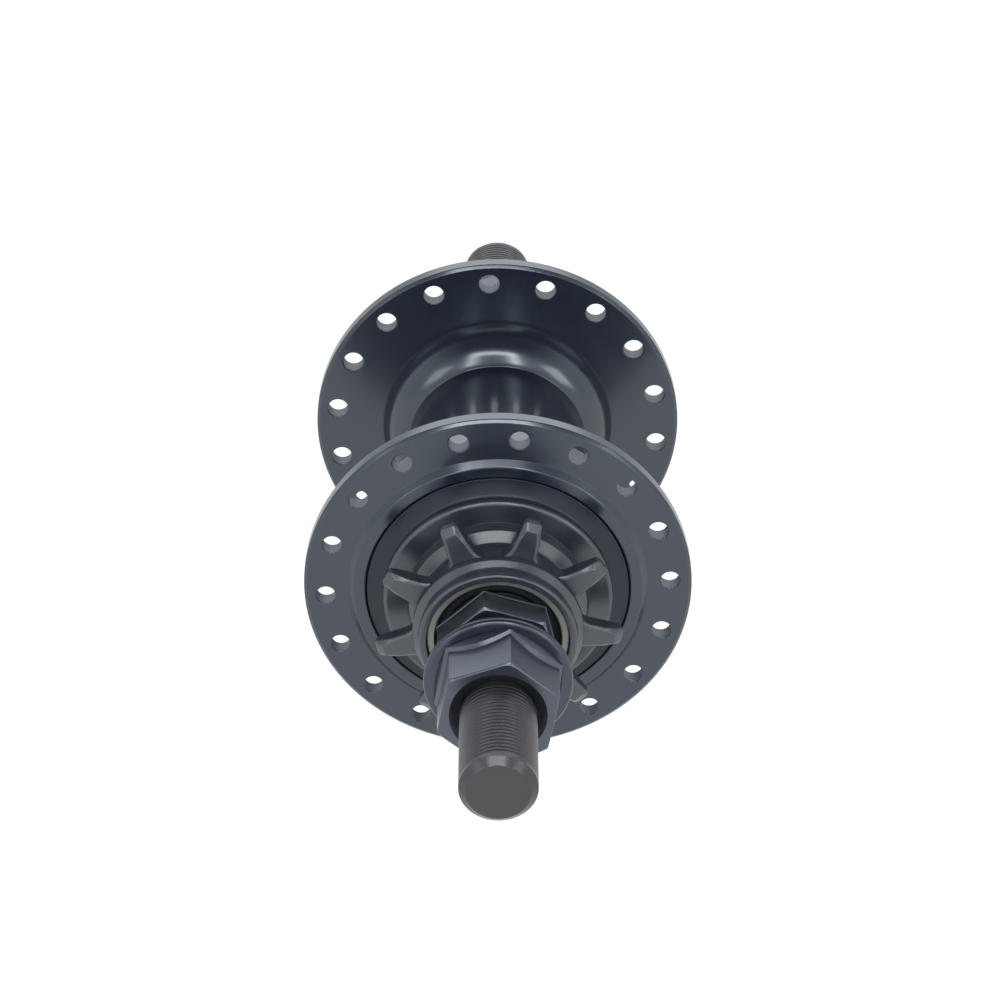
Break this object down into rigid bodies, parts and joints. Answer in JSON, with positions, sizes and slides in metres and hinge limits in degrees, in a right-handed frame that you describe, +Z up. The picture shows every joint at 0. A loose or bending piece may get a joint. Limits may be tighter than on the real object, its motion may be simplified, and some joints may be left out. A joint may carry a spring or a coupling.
{
  "type": "bmx rear hub",
  "caption": "Black BMX rear hub: waisted barrel between two drilled spoke flanges, freewheeling driver with a chain cog, threaded axle with locknuts, washers and nuts.",
  "frame": {"origin": "centre of the hub on the axle's axis, midway between the two flanges and between the axle's ends", "axes": "+Y along the axle towards the left side, so the driver is on the -Y side; +X forward on the bicycle; +Z up"},
  "size_m": [0.072, 0.19, 0.072],
  "materials": {
    "shell_black": "bright black anodised",
    "driver_black": "satin black on machined steel",
    "axle_black": "black oxide, threaded",
    "nut_black": "glossy black",
    "washer_black": "glossy black",
    "spacer_black": "black anodised",
    "cone_black": "bright black anodised",
    "spacer_bare": "turned, uncoated",
    "ratchet_steel": "hardened, oiled",
    "pawl_steel": "hardened, oiled",
    "spring_steel": "blank spring steel",
    "bearing_steel": "ground bearing steel",
    "seal_rubber": "matt black"
  },
  "bodies": {
    "axle_assembly": {"axle": "axle_black", "drive_locknut": "nut_black", "left_locknut": "nut_black", "drive_axle_nut": "nut_black", "left_axle_nut": "nut_black", "drive_washer": "washer_black", "left_washer": "washer_black", "drive_collar": "spacer_black", "driver_sleeve": "spacer_bare", "side_collar": "spacer_bare", "middle_sleeve": "spacer_bare", "left_cone": "cone_black", "driver_outer_bearing_inner_race": "bearing_steel", "driver_inner_bearing_inner_race": "bearing_steel", "drive_shell_bearing_inner_race": "bearing_steel", "left_shell_bearing_inner_race": "bearing_steel"},
    "hub": {"hub_shell": "shell_black", "ratchet_ring": "ratchet_steel", "left_dust_seal": "seal_rubber", "drive_shell_bearing_outer_race": "bearing_steel", "left_shell_bearing_outer_race": "bearing_steel"},
    "driver": {"driver_body": "driver_black", "driver_outer_bearing_outer_race": "bearing_steel", "driver_inner_bearing_outer_race": "bearing_steel", "driver_bearing_seal": "seal_rubber", "pawl_springs": "spring_steel"},
    "pawl_1": {"pawl_1": "pawl_steel"},
    "pawl_2": {"pawl_2": "pawl_steel"},
    "pawl_3": {"pawl_3": "pawl_steel"}
  },
  "joints": [
    {"name": "hub_spin", "type": "hinge", "parent": "axle_assembly", "child": "hub", "pos_m": [0, 0, 0], "axis": [0, 1, 0], "continuous": true},
    {"name": "driver_spin", "type": "hinge", "parent": "axle_assembly", "child": "driver", "pos_m": [0, -0.0343, 0], "axis": [0, 1, 0], "continuous": true},
    {"name": "pawl_1_rock", "type": "hinge", "parent": "driver", "child": "pawl_1", "pos_m": [0.00756, -0.0253, 0.01433], "axis": [0, 1, 0], "range_deg": [0, 13], "stiffness_Nm_per_rad": 0.004, "springref_deg": -20.05},
    {"name": "pawl_2_rock", "type": "hinge", "parent": "driver", "child": "pawl_2", "pos_m": [-0.01619, -0.0253, -0.00062], "axis": [0, 1, 0], "range_deg": [0, 13], "stiffness_Nm_per_rad": 0.004, "springref_deg": -20.05},
    {"name": "pawl_3_rock", "type": "hinge", "parent": "driver", "child": "pawl_3", "pos_m": [0.00863, -0.0253, -0.01371], "axis": [0, 1, 0], "range_deg": [0, 13], "stiffness_Nm_per_rad": 0.004, "springref_deg": -20.05}
  ],
  "couplings": [
    {"joint": "pawl_2_rock", "follows": "pawl_1_rock", "ratio": 1},
    {"joint": "pawl_3_rock", "follows": "pawl_1_rock", "ratio": 1}
  ]
}
